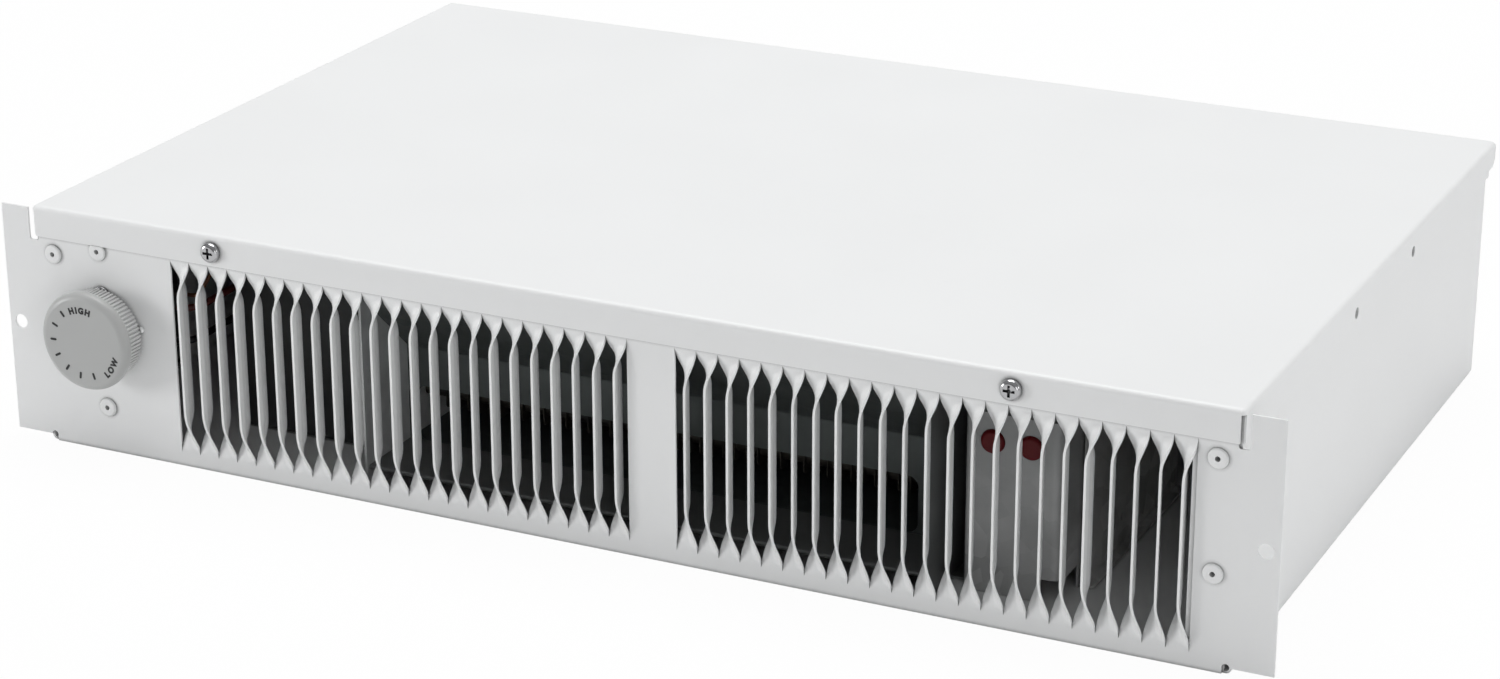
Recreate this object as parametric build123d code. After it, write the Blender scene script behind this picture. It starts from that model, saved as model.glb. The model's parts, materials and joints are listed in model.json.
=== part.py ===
from build123d import *
import math
import os

# Kick-space fan convector heater, in millimetres.
# X runs left to right across the front, Y from the front plate to the rear, Z up.
# The origin is on the front face of the plate, midway between its two fixing holes.

# Sheet metal
SHEET_T = 0.9
OUTER_BEND_R = 2.2
INNER_BEND_R = OUTER_BEND_R - SHEET_T
FIT_GAP = 0.1
SEAM_W = 0.3

# Front plate
PLATE_W = 543.4
PLATE_TOP = 50.5
PLATE_BOTTOM = -47.8
PLATE_MIDDLE_TOP = 49.7
SKIRT_W = 504.2
CASE_BOTTOM = -50.4
RELIEF_R = 1.5
FLANGE_HOLE_X = 266.4
FLANGE_HOLE_R = 3.0
NOTCH_INNER_X = 254.4
NOTCH_OUTER_X = 258.8
NOTCH_Z = 36.9
NOTCH_CORNER_R = 1.0

# Louvres: strips of the plate twisted about their own centrelines
LOUVRE_PITCH = 8.92
LOUVRE_COUNT = 23
LOUVRE_KERF = 0.14
LOUVRE_BOTTOM = -44.4
LOUVRE_TOP = 38.2
LOUVRE_TWIST = (78.0, 76.5)
LOUVRE_TWIST_SPREAD = 3.0
LOUVRE_OVERTURNED = (1, 18)
LOUVRE_OVERTURN = 89.0
LOUVRE_LOWER_TURN = 19.5
LOUVRE_UPPER_TURN = 15.5
LOUVRE_TURN_START = 1.45
LOUVRE_TURN_EASE = 2.3
LOUVRE_SECTIONS = 7
LOUVRE_STARTS = (-190.7, 34.6)

# Sheet-metal case behind the plate
CASE_FRONT = SHEET_T + FIT_GAP
CASE_REAR = 323.9
CASE_HALF_W = 255.6
CASE_TOP = 50.3
TRAY_FRONT_LIP = 5.9
END_FLANGE_W = 17.0
END_FLANGE_BOTTOM = -40.0
END_FLANGE_TOP = 46.0
REAR_FLANGE_D = 8.0

# Cover
COVER_HALF_W = 256.65
COVER_FRONT = -1.0
COVER_REAR = 333.5
COVER_TOP = 52.0
COVER_LIP = 12.9
COVER_REAR_LIP = 10.3
COVER_REAR_STEP = 9.0
COVER_CORNER_R = 2.2
COVER_LIP_END = 255.0
COVER_CORNER_GAP = 0.9
COVER_UNDERSIDE = COVER_TOP - SHEET_T
SIDE_HOLE_R = 2.25
SIDE_HOLE_Y = (132.5, 209.2)
SIDE_HOLE_Z = 42.7
CLIP_CENTRE_X = 160.0
CLIP_W = 24.0
CLIP_L = 14.0

# Number 8 pan-head screws through the cover lip
COVER_SCREW_X = 169.8
COVER_SCREW_Z = 45.2
PAN_HEAD_R = 4.1
PAN_HEAD_H = 2.9
PAN_SHANK_R = 2.1
PAN_SHANK_L = 9.5
CROSS_SLOT_W = 1.1
CROSS_SLOT_L = 4.6
CROSS_DEPTH = 1.7

# Open blind rivets, 4 mm body
RIVET_HEAD_R = 3.95
RIVET_HEAD_H = 1.2
RIVET_BODY_R = 2.0
RIVET_TAIL_R = 2.9
RIVET_TAIL_H = 3.2
RIVET_BORE_R = 1.05
END_RIVET_X = 247.4
END_RIVET_Z = (32.2, -12.0)

# Thermostat
KNOB_X = -225.0
KNOB_Z = 2.3
KNOB_R = 20.8
KNOB_FACE_Y = -15.0
KNOB_CAP_T = 4.0
KNOB_BACK_Y = -1.5
KNOB_EDGE_R = 3.2
KNOB_WALL = 2.0
KNOB_SKIRT_R = 18.4
KNURL_COUNT = 72
KNURL_R = 0.55
KNOB_HUB_R = 5.5
SHAFT_R = 3.0
SHAFT_FLAT = 2.2
SHAFT_HOLE_R = 5.0
BUSHING_R = 4.6
THERMOSTAT_SCREW_PITCH = 15.4
THERMOSTAT_BODY = (36.0, 30.0, 46.0)
BRACKET_RIVET_X = -225.5
BRACKET_RIVET_Z = (36.6, -30.9)
BRACKET_HALF_W = 9.0
BRACKET_DEPTH = 40.0
BULB_X = (-188.0, -128.0)
BULB_Y = 56.0
BULB_Z = 30.0
BULB_R = 3.0
CAPILLARY_R = 0.8
CLIP_X = (-134.0, -124.0)
INDEX_X = -206.8
INDEX_Z = 5.9
INDEX_R = 1.6

# Guard in front of the live terminals on the left
GUARD_X = (-192.0, -108.6)
GUARD_Y = 46.0
GUARD_TOP = 44.0
GUARD_FOOT = 8.0
LEAD_X = -199.0

# Outlet duct
DUCT_LEFT_X = -107.5
DUCT_RIGHT_X = 133.5
DUCT_FRONT = 8.0
DUCT_REAR = 152.0
DUCT_WALL_TOP = 46.0
DUCT_FOOT_W = 7.2
DUCT_SCREW_OFFSET = 4.5
DUCT_SCREW_Y = (60.0, 140.0)
FACE_Y = 41.5
FACE_TOP = 1.7
CEILING_FRONT_Y = 5.0
CEILING_FRONT_Z = 36.0
MOUTH_X = (-103.5, 116.5)
MOUTH_Z = (-38.8, -15.3)
MOUTH_CORNER_R = 4.5
FLOOR_FRONT_Y = 10.0
HEM_L = 6.0

# Cross-flow blower
WHEEL_Y = 105.0
WHEEL_Z = 0.0
WHEEL_R = 30.0
WHEEL_INNER_R = 22.5
WHEEL_LEFT = -101.0
WHEEL_RIGHT = 112.0
WHEEL_BLADES = 30
BLADE_T = 0.6
BLADE_SWEEP = 14.0
BLADE_BOW = 1.3
SCROLL_CORNER_R = 13.0
DISC_T = 1.0
HUB_R = 8.0
HUB_L = 9.0
AXLE_R = 3.0
AXLE_LEFT = -116.0
AXLE_RIGHT = 178.0
RUNNING_GAP = 0.05
BEARING_R = 7.0
GROMMET_R = 12.0
GROMMET_GROOVE_R = 10.0

# Shaded-pole motor
STACK_X = (146.5, 166.5)
STACK_HALF_D = 28.0
STACK_Z = (-24.0, 43.0)
STATOR_BORE_R = 14.4
ROTOR_R = 14.0
COIL_HALF_D = 16.0
COIL_Z = (23.5, 49.5)
COIL_OVERHANG = 6.0
WINDOW_Z = (19.0, 33.0)
MOTOR_SCREW_Y = 23.0
MOTOR_SCREW_Z = -18.0
MOTOR_SCREW_R = 1.9
BRIDGE_T = 1.5
BRIDGE_X = (140.5, 171.0)

# Heating element
ELEMENT_Y = (58.0, 68.0)
ELEMENT_Z = -22.2
ELEMENT_R = 3.2
ELEMENT_RIGHT = 112.0
ELEMENT_LEFT = -114.0
FIN_COUNT = 42
FIN_PITCH = 5.0
FIN_T = 0.5
FIN_FIRST_X = -97.0
FIN_Y = (53.0, 73.0)
FIN_Z = (-28.6, -15.8)
SEAL_L = 3.0
PIN_L = 9.0

# Limit switch box and its reset buttons
BOX_X = (141.7, 180.5)
BOX_Y = (26.0, 66.0)
BOX_TOP = 22.8
BOX_CORNER_R = (1.4, 4.5)
BOX_NOTCH_X = 171.5
BOX_NOTCH_H = 9.4
BOX_NOTCH_D = 19.0
BOX_FOOT_L = 12.0

# Air guide beside the motor
SHIELD_X = 181.5
SHIELD_Y = (45.0, 150.0)
SHIELD_TOP = 44.0
SHIELD_FOOT = 4.0
SHIELD_HOLE = (87.0, -37.0)
SHIELD_HOLE_R = 1.6
BUTTON_X = (152.5, 167.7)
BUTTON_Z = 11.7
BUTTON_R = 4.75
BUTTON_GAP = 0.1
BUTTON_DOME = 1.6
BUTTON_STROKE = 1.5
BUTTON_COLLAR = 1.2
STEM_R = 2.0
STEM_END = 11.0
LIMIT_R = 6.6
LIMIT_DEPTH = 12.0

# Push-on terminals
TAB_W = 6.3
TAB_T = 0.8
ELEMENT_TAB_X = ELEMENT_LEFT - SEAL_L - PIN_L - 1

# Supply wiring at the rear left
ENTRY_X = -226.0
ENTRY_Z = -18.0
ENTRY_R = 11.1
PLUG_X = -190.0
JUNCTION_X = (-252.0, -160.0)
JUNCTION_Y = (245.0, 322.0)
JUNCTION_TOP = 4.0
JUNCTION_FOOT = 10.0
GROUND_XY = (-175.0, 300.0)
NUT_X = -205.0
NUT_Y = (268.0, 290.0)
NUT_Z = -30.0
NUT_L = 22.0
NUT_BORE_R = 3.4
WIRE_R = 1.4

TRAY_FLOOR = CASE_BOTTOM + SHEET_T
GATE_X = JUNCTION_X[1] - 20
GATE_Z = TRAY_FLOOR + 12
GATE_R = 5.0
WIRE_LOW = TRAY_FLOOR + WIRE_R + 0.6

# Fan delay switch on the left duct wall
DELAY_Y = 82.0
DELAY_Z = -12.0
DELAY_R = 8.0
DELAY_H = 11.0
DELAY_TABS = (-3.6, 3.6)
DELAY_TAB_L = 7.0


def block(x0, x1, y0, y1, z0, z1):
    """Box between two corners."""
    centre = Pos((x0 + x1) / 2, (y0 + y1) / 2, (z0 + z1) / 2)
    return centre * Box(abs(x1 - x0), abs(y1 - y0), abs(z1 - z0))


def rod_x(radius, x0, x1, y, z):
    """Round bar along X."""
    return Pos((x0 + x1) / 2, y, z) * Rot(0, 90, 0) * Cylinder(radius, abs(x1 - x0))


def rod_y(radius, y0, y1, x, z):
    """Round bar along Y."""
    return Pos(x, (y0 + y1) / 2, z) * Rot(90, 0, 0) * Cylinder(radius, abs(y1 - y0))


def rod_z(radius, z0, z1, x, y):
    """Round bar along Z."""
    return Pos(x, y, (z0 + z1) / 2) * Cylinder(radius, abs(z1 - z0))


def strip_x(points, x0, x1, thickness=SHEET_T, radius=OUTER_BEND_R, side=Side.LEFT):
    """Sheet bent along a side-view path of Y, Z points and running from x0 to x1."""
    if len(points) > 2:
        path = FilletPolyline(*points, radius=radius)
    else:
        path = Polyline(*points)
    outline = offset(path, amount=thickness, side=side)
    return extrude(Plane.YZ.offset(x0) * make_face(outline), x1 - x0)


def bundle(pieces):
    """Several separate solids kept together as one part."""
    return Compound(children=list(pieces))


def both_sides(shape):
    """The shape and its mirror image across the centre of the heater."""
    return shape + mirror(shape, Plane.YZ)


def pan_screw(length, radius=PAN_SHANK_R, head_r=PAN_HEAD_R, head_h=PAN_HEAD_H):
    """Cross-recessed pan-head screw pointing up, with its head below Z = 0."""
    head = Pos(0, 0, -head_h / 2) * Cylinder(head_r, head_h)
    head = fillet(head.edges().sort_by(Axis.Z)[0], head_h * 0.6)
    bar = Box(CROSS_SLOT_L, CROSS_SLOT_W, CROSS_DEPTH * 2)
    recess = Pos(0, 0, -head_h) * (bar + Rot(0, 0, 90) * bar)
    shank = Pos(0, 0, length / 2) * Cylinder(radius, length)
    point = shank.edges().sort_by(Axis.Z)[-1]
    return head - recess + chamfer(point, min(radius, length) * 0.4)


def blind_rivet():
    """Open blind rivet along +Z, with its domed flange below Z = 0."""
    head = Pos(0, 0, -RIVET_HEAD_H / 2) * Cylinder(RIVET_HEAD_R, RIVET_HEAD_H)
    head = fillet(head.edges().sort_by(Axis.Z)[0], RIVET_HEAD_H * 0.75)
    grip = 2 * SHEET_T + FIT_GAP
    body = Pos(0, 0, grip / 2) * Cylinder(RIVET_BODY_R, grip)
    tail = Pos(0, 0, grip + RIVET_TAIL_H / 2) * Cylinder(RIVET_TAIL_R, RIVET_TAIL_H)
    tail = fillet(tail.edges(), RIVET_TAIL_R * 0.3)
    reach = grip + RIVET_TAIL_H
    bore = Pos(0, 0, (reach - RIVET_HEAD_H) / 2) * Cylinder(RIVET_BORE_R, reach + RIVET_HEAD_H + 1)
    return head + body + tail - bore


def floor_screw():
    """Short pan-head screw that points down into the tray floor."""
    return Rot(180, 0, 0) * pan_screw(SHEET_T * 0.9, head_r=3.4, head_h=2.2)


def facing_front(shape, x, y, z):
    """Turn a screw or rivet so that its head faces the front."""
    return Pos(x, y, z) * Rot(-90, 0, 0) * shape


def fin_section(x, z, angle):
    """Cross-section of one louvre at height z, turned by the angle."""
    plane = Plane((x, SHEET_T / 2, z))
    return plane * Rot(0, 0, -angle) * Rectangle(LOUVRE_PITCH - LOUVRE_KERF, SHEET_T)


def fin_turn(x, z_flat, z_turned, twist):
    """The part of a louvre that turns from flat to its full twist."""
    sections = []
    for step in range(LOUVRE_SECTIONS):
        part = step / (LOUVRE_SECTIONS - 1)
        z = z_flat + (z_turned - z_flat) * part
        turned = 1 - (1 - part ** LOUVRE_TURN_START) ** LOUVRE_TURN_EASE
        sections.append(fin_section(x, z, twist * turned))
    if z_turned < z_flat:
        sections.reverse()
    return loft(sections)


def louvre(group, index):
    """One strip, twisted in the middle and flat at both ends."""
    x = LOUVRE_STARTS[group] + (index + 0.5) * LOUVRE_PITCH
    serial = group * LOUVRE_COUNT + index
    twist = LOUVRE_TWIST[group] + LOUVRE_TWIST_SPREAD * math.sin(serial * 2.4)
    if (group, index) == LOUVRE_OVERTURNED:
        twist = LOUVRE_OVERTURN
    lower = LOUVRE_BOTTOM + LOUVRE_LOWER_TURN + math.sin(serial * 1.7)
    upper = LOUVRE_TOP - LOUVRE_UPPER_TURN - math.sin(serial * 3.1)
    middle = extrude(fin_section(x, lower, twist), upper - lower)
    bottom = fin_turn(x, LOUVRE_BOTTOM, lower, twist)
    top = fin_turn(x, LOUVRE_TOP, upper, twist)
    return bottom + middle + top


def plate_holes():
    """Every round hole punched in the front plate."""
    holes = both_sides(rod_y(FLANGE_HOLE_R, -5, 5, FLANGE_HOLE_X, 0))
    holes += both_sides(rod_y(PAN_SHANK_R + FIT_GAP, -5, 5, COVER_SCREW_X, COVER_SCREW_Z))
    for z in END_RIVET_Z:
        holes += both_sides(rod_y(RIVET_BODY_R + RUNNING_GAP, -5, 5, END_RIVET_X, z))
    for z in BRACKET_RIVET_Z:
        holes += rod_y(RIVET_BODY_R + RUNNING_GAP, -5, 5, BRACKET_RIVET_X, z)
    for offset_z in (-THERMOSTAT_SCREW_PITCH, THERMOSTAT_SCREW_PITCH):
        holes += rod_y(PAN_SHANK_R + FIT_GAP, -5, 5, KNOB_X, KNOB_Z + offset_z)
    holes += rod_y(SHAFT_HOLE_R, -5, 5, KNOB_X, KNOB_Z)
    return holes


def front_panel():
    """Front plate with its ears, skirt, notches, holes and louvres."""
    plate = block(-PLATE_W / 2, PLATE_W / 2, 0, SHEET_T, PLATE_BOTTOM, PLATE_TOP)
    plate += block(-SKIRT_W / 2, SKIRT_W / 2, 0, SHEET_T, CASE_BOTTOM, PLATE_BOTTOM)
    plate -= both_sides(rod_y(RELIEF_R, -5, 5, SKIRT_W / 2 + RELIEF_R, PLATE_BOTTOM))
    notch = block(NOTCH_INNER_X, NOTCH_OUTER_X, -5, 5, NOTCH_Z, PLATE_TOP + 5)
    notch = fillet(notch.edges().filter_by(Axis.Y).group_by(Axis.Z)[0], NOTCH_CORNER_R)
    plate -= both_sides(notch)
    plate -= block(-NOTCH_OUTER_X, NOTCH_OUTER_X, -5, 5, PLATE_MIDDLE_TOP, PLATE_TOP + 5)
    plate -= plate_holes()
    dimple = Pos(INDEX_X, SHEET_T / 2, INDEX_Z) * Sphere(INDEX_R)
    plate += dimple & block(INDEX_X - 5, INDEX_X + 5, -5, SHEET_T, INDEX_Z - 5, INDEX_Z + 5)
    fins = []
    for group, start in enumerate(LOUVRE_STARTS):
        end = start + LOUVRE_COUNT * LOUVRE_PITCH
        plate -= block(start, end, -5, 5, LOUVRE_BOTTOM, LOUVRE_TOP)
        for index in range(LOUVRE_COUNT):
            fins.append(louvre(group, index))
    return plate.fuse(*fins)


def base_tray():
    """Tray with side walls, a rear wall and flanges behind the front plate."""
    outer = block(-CASE_HALF_W, CASE_HALF_W, CASE_FRONT, CASE_REAR, CASE_BOTTOM, CASE_TOP)
    low = outer.edges().group_by(Axis.Z)[0]
    outer = fillet(low.sort_by(Axis.Y)[1:], OUTER_BEND_R)
    half_in = CASE_HALF_W - SHEET_T
    rear_in = CASE_REAR - SHEET_T
    inner = block(-half_in, half_in, CASE_FRONT - 5, rear_in, TRAY_FLOOR, CASE_TOP + 5)
    low = inner.edges().group_by(Axis.Z)[0]
    inner = fillet(low.sort_by(Axis.Y)[1:], INNER_BEND_R)
    tray = outer - inner
    flange_y = CASE_FRONT + SHEET_T
    ear = block(half_in - END_FLANGE_W, half_in, CASE_FRONT, flange_y, END_FLANGE_BOTTOM, END_FLANGE_TOP)
    tray += both_sides(ear)
    lip_top = CASE_BOTTOM + TRAY_FRONT_LIP
    tray += block(-half_in + 2, half_in - 2, CASE_FRONT, flange_y, TRAY_FLOOR, lip_top)
    tray += block(-half_in + 2, half_in - 2, rear_in - REAR_FLANGE_D, rear_in, CASE_TOP - SHEET_T, CASE_TOP)
    seam = block(half_in - SEAM_W, half_in, rear_in - 0.01, CASE_REAR + 1, TRAY_FLOOR + 3, CASE_TOP + 1)
    tray -= both_sides(seam)
    for z in END_RIVET_Z:
        tray -= both_sides(rod_y(RIVET_BODY_R + RUNNING_GAP, 0, 5, END_RIVET_X, z))
    for y in SIDE_HOLE_Y:
        tray -= rod_x(SIDE_HOLE_R, -CASE_HALF_W - 5, CASE_HALF_W + 5, y, SIDE_HOLE_Z)
    tray -= rod_y(ENTRY_R, CASE_REAR - 5, CASE_REAR + 5, ENTRY_X, ENTRY_Z)
    tray -= rod_y(ENTRY_R, CASE_REAR - 5, CASE_REAR + 5, PLUG_X, ENTRY_Z)
    return tray


def top_cover():
    """Cover with a lip in front of the plate and lips over the tray sides."""
    lip_z = COVER_TOP - COVER_LIP
    outer = block(-COVER_HALF_W, COVER_HALF_W, COVER_FRONT, COVER_REAR, lip_z, COVER_TOP)
    outer = fillet(outer.edges().filter_by(Axis.Z).group_by(Axis.Y)[0], COVER_CORNER_R)
    outer = fillet(outer.faces().sort_by(Axis.Z)[-1].edges().sort_by(Axis.Y)[:-1], OUTER_BEND_R)
    half_in = COVER_HALF_W - SHEET_T
    front_in = COVER_FRONT + SHEET_T
    inner = block(-half_in, half_in, front_in, COVER_REAR + 5, lip_z - 5, COVER_UNDERSIDE)
    inner = fillet(inner.edges().filter_by(Axis.Z).group_by(Axis.Y)[0], COVER_CORNER_R - SHEET_T)
    inner = fillet(inner.faces().sort_by(Axis.Z)[-1].edges().sort_by(Axis.Y)[:-1], INNER_BEND_R)
    cover = outer - inner
    step_z = COVER_TOP - COVER_REAR_LIP
    step_y = COVER_REAR - COVER_REAR_STEP
    step = Polyline((step_y, lip_z - 1), (step_y, step_z), (COVER_REAR - 3, step_z),
                    (COVER_REAR + 1, step_z + 4), (COVER_REAR + 1, lip_z - 1), close=True)
    cut = extrude(Plane.YZ.offset(half_in - 1) * make_face(step), SHEET_T + 2)
    cover -= both_sides(cut)
    bend_z = COVER_TOP - OUTER_BEND_R
    gap = block(COVER_LIP_END, COVER_HALF_W + 1, COVER_FRONT - 1, COVER_CORNER_GAP, lip_z - 1, bend_z)
    cover -= both_sides(gap)
    for y in SIDE_HOLE_Y:
        cover -= rod_x(SIDE_HOLE_R, -COVER_HALF_W - 5, COVER_HALF_W + 5, y, SIDE_HOLE_Z)
    hole = rod_y(PAN_SHANK_R + FIT_GAP, COVER_FRONT - 5, 5, COVER_SCREW_X, COVER_SCREW_Z)
    return cover - both_sides(hole)


def cover_rear_clips():
    """Two Z-shaped clips under the cover that hook behind the rear wall."""
    clips = []
    top = COVER_UNDERSIDE
    back = CASE_REAR + FIT_GAP
    path = ((COVER_REAR - 1, top), (back, top), (back, top - CLIP_L))
    for x in (-CLIP_CENTRE_X, CLIP_CENTRE_X):
        clips.append(strip_x(path, x - CLIP_W / 2, x + CLIP_W / 2, radius=INNER_BEND_R))
    return bundle(clips)


def cover_screws():
    """The two screws through the front lip of the cover."""
    screw = pan_screw(PAN_SHANK_L)
    y = COVER_FRONT
    return bundle(facing_front(screw, x, y, COVER_SCREW_Z) for x in (-COVER_SCREW_X, COVER_SCREW_X))


def cover_screw_nuts():
    """Spring nuts behind the plate that the cover screws drive into."""
    nuts = []
    for x in (-COVER_SCREW_X, COVER_SCREW_X):
        nut = block(x - 7, x + 7, CASE_FRONT, CASE_FRONT + 0.8, COVER_SCREW_Z - 5, COVER_SCREW_Z + 5)
        nut += rod_y(PAN_SHANK_R + 1.2, CASE_FRONT + 0.8, CASE_FRONT + 2.6, x, COVER_SCREW_Z)
        nuts.append(nut - rod_y(PAN_SHANK_R, 0, 10, x, COVER_SCREW_Z))
    return bundle(nuts)


def panel_rivets():
    """Rivets joining the plate to the end flanges of the tray."""
    rivet = blind_rivet()
    spots = [(x, z) for x in (-END_RIVET_X, END_RIVET_X) for z in END_RIVET_Z]
    return bundle(facing_front(rivet, x, 0, z) for x, z in spots)


def bracket_rivets():
    """Rivets joining the thermostat guard to the plate; the cover lip trims the upper one."""
    rivet = blind_rivet()
    rivets = [facing_front(rivet, BRACKET_RIVET_X, 0, z) for z in BRACKET_RIVET_Z]
    lip_z = COVER_TOP - COVER_LIP - RUNNING_GAP
    rivets[0] -= block(BRACKET_RIVET_X - 6, BRACKET_RIVET_X + 6, COVER_FRONT - 2, 0, lip_z, lip_z + 6)
    return bundle(rivets)


def knurl_ribs():
    """Small ribs round the skirt of the knob."""
    front = KNOB_FACE_Y + KNOB_CAP_T
    ribs = []
    for index in range(KNURL_COUNT):
        turn = 2 * math.pi * index / KNURL_COUNT
        x = KNOB_X + KNOB_SKIRT_R * math.cos(turn)
        z = KNOB_Z + KNOB_SKIRT_R * math.sin(turn)
        ribs.append(rod_y(KNURL_R, front, KNOB_BACK_Y, x, z))
    return ribs


def thermostat_knob():
    """Dial knob: rounded cap, narrower ribbed skirt and a socket for the D-shaft."""
    cap_back = KNOB_FACE_Y + KNOB_CAP_T
    cap = rod_y(KNOB_R, KNOB_FACE_Y, cap_back, KNOB_X, KNOB_Z)
    cap = fillet(cap.edges().sort_by(Axis.Y)[0], KNOB_EDGE_R)
    knob = cap + rod_y(KNOB_SKIRT_R, cap_back, KNOB_BACK_Y, KNOB_X, KNOB_Z)
    knob = knob.fuse(*knurl_ribs())
    hollow = rod_y(KNOB_SKIRT_R - KNOB_WALL, KNOB_FACE_Y + KNOB_WALL + 1, KNOB_BACK_Y + 1, KNOB_X, KNOB_Z)
    hub = rod_y(KNOB_HUB_R, KNOB_FACE_Y + KNOB_WALL, KNOB_BACK_Y - 1, KNOB_X, KNOB_Z)
    knob = knob - hollow + hub
    return knob - d_shaft(KNOB_FACE_Y + KNOB_WALL + 1, KNOB_BACK_Y + 1)


def d_shaft(y0, y1):
    """Round shaft with one flat."""
    shaft = rod_y(SHAFT_R, y0, y1, KNOB_X, KNOB_Z)
    flat = block(KNOB_X - 5, KNOB_X + 5, y0 - 1, y1 + 1, KNOB_Z + SHAFT_FLAT, KNOB_Z + 5)
    return shaft - flat


def thermostat_shaft():
    """Control shaft of the thermostat, from the knob into the body."""
    front = d_shaft(KNOB_FACE_Y + KNOB_WALL + 1, CASE_FRONT - 2)
    rear = rod_y(SHAFT_R, CASE_FRONT - 2, CASE_FRONT + 8, KNOB_X, KNOB_Z)
    return front + rear


def thermostat_body():
    """Moulded switch body with its mounting plate, bushing and terminal tower."""
    width, depth, height = THERMOSTAT_BODY
    front = CASE_FRONT + 1.2
    ears = THERMOSTAT_SCREW_PITCH + 6
    plate = block(KNOB_X - 9, KNOB_X + 9, CASE_FRONT, front, KNOB_Z - ears, KNOB_Z + ears)
    body = block(KNOB_X - width / 2, KNOB_X + width / 2, front, front + depth,
                 KNOB_Z - 13, KNOB_Z + 13)
    body = fillet(body.edges().filter_by(Axis.Y), 2.0)
    tower = block(KNOB_X - 12, KNOB_X + 12, front + 8, front + depth + 4, KNOB_Z - height / 2, KNOB_Z + 10)
    bushing = rod_y(BUSHING_R, -0.6, CASE_FRONT + 1, KNOB_X, KNOB_Z)
    whole = plate + body + tower + bushing
    whole -= rod_y(SHAFT_R + RUNNING_GAP, -2, CASE_FRONT + 8, KNOB_X, KNOB_Z)
    for side in (-THERMOSTAT_SCREW_PITCH, THERMOSTAT_SCREW_PITCH):
        whole -= rod_y(PAN_SHANK_R, CASE_FRONT - 1, CASE_FRONT + 7, KNOB_X, KNOB_Z + side)
    return whole


def thermostat_screws():
    """Two screws that hold the thermostat, behind the knob."""
    screw = pan_screw(6.5, head_h=1.3)
    spots = (KNOB_Z - THERMOSTAT_SCREW_PITCH, KNOB_Z + THERMOSTAT_SCREW_PITCH)
    return bundle(facing_front(screw, KNOB_X, 0, z) for z in spots)


def thermostat_bracket():
    """U-shaped guard behind the thermostat, riveted to the plate."""
    top, low = BRACKET_RIVET_Z
    front = CASE_FRONT
    back = front + BRACKET_DEPTH
    path = ((front, top + 5), (front, top - 6), (back, top - 6), (back, low + 6), (front, low + 6),
            (front, low - 5))
    x0 = BRACKET_RIVET_X - BRACKET_HALF_W
    guard = strip_x(path, x0, x0 + 2 * BRACKET_HALF_W, radius=1.2)
    for z in BRACKET_RIVET_Z:
        guard -= rod_y(RIVET_BODY_R + RUNNING_GAP, 0, 5, BRACKET_RIVET_X, z)
    return guard


def tube(points, radius, bend=7.0):
    """Round wire or tube along straight runs joined by bends."""
    path = FilletPolyline(*points, radius=bend)
    section = Plane(origin=path @ 0, z_dir=path % 0) * Circle(radius)
    return sweep(section, path)


def sensing_bulb():
    """Liquid-filled bulb clipped in the air intake, with its capillary."""
    bulb = rod_x(BULB_R, *BULB_X, BULB_Y, BULB_Z)
    bulb = fillet(bulb.edges(), BULB_R / 2)
    start = BULB_X[0] + 1
    corner = start - 11
    end = KNOB_X + THERMOSTAT_BODY[0] / 2 + FIT_GAP
    low = KNOB_Z + 10
    route = ((start, BULB_Y, BULB_Z), (corner, BULB_Y, BULB_Z), (corner, 28, low), (end, 28, low))
    return bulb + tube(route, CAPILLARY_R, 3.0)


def bulb_clip():
    """Spring clip that hangs the bulb from the duct wall."""
    y = BULB_Y
    z = BULB_Z
    x0, x1 = CLIP_X
    ring = rod_x(BULB_R + 1, x0, x1, y, z) - rod_x(BULB_R, x0 - 5, x1 + 5, y, z)
    ring -= block(x0 - 2, x1 + 2, y - 1.6, y + 1.6, z + 1, z + 6)
    arm = block(x0, DUCT_LEFT_X - SHEET_T, y - 4, y + 4, z - BULB_R - 2, z - BULB_R - 1)
    post = block(x0, x1, y - 1.5, y + 1.5, z - BULB_R - 1.4, z - BULB_R - 0.2)
    return ring + arm + post


def duct_wall(x, outward):
    """Side wall of the duct and blower, with a foot on the tray floor."""
    low = TRAY_FLOOR
    path = Polyline((DUCT_FRONT, low), (DUCT_REAR, low), (DUCT_REAR, 34), (DUCT_REAR - 14, DUCT_WALL_TOP),
                    (26, DUCT_WALL_TOP), (DUCT_FRONT, 33), close=True)
    wall = extrude(Plane.YZ.offset(x) * make_face(path), outward * SHEET_T)
    edge = x + outward * (SHEET_T + DUCT_FOOT_W)
    foot = block(x, edge, DUCT_FRONT + 24, DUCT_REAR - 4, low, low + SHEET_T)
    for y in DUCT_SCREW_Y:
        foot -= rod_z(PAN_SHANK_R + FIT_GAP, low - 1, low + 5, x + outward * DUCT_SCREW_OFFSET, y)
    return wall + foot


def duct_left_wall():
    """Left wall with the bearing hole and two holes for the element ends."""
    wall = duct_wall(DUCT_LEFT_X, -1)
    wall -= rod_x(GROMMET_GROOVE_R, DUCT_LEFT_X - 5, DUCT_LEFT_X + 5, WHEEL_Y, WHEEL_Z)
    for y in ELEMENT_Y:
        wall -= rod_x(ELEMENT_R + 0.3, DUCT_LEFT_X - 5, DUCT_LEFT_X + 5, y, ELEMENT_Z)
    return wall


def duct_right_wall():
    """Right wall with a clearance hole for the shaft and the motor screw holes."""
    wall = duct_wall(DUCT_RIGHT_X, 1)
    wall -= rod_x(HUB_R + 2, DUCT_RIGHT_X - 5, DUCT_RIGHT_X + 5, WHEEL_Y, WHEEL_Z)
    for side in (-MOTOR_SCREW_Y, MOTOR_SCREW_Y):
        y = WHEEL_Y + side
        wall -= rod_x(MOTOR_SCREW_R + FIT_GAP, DUCT_RIGHT_X - 5, DUCT_RIGHT_X + 5, y, MOTOR_SCREW_Z)
    return wall


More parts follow.
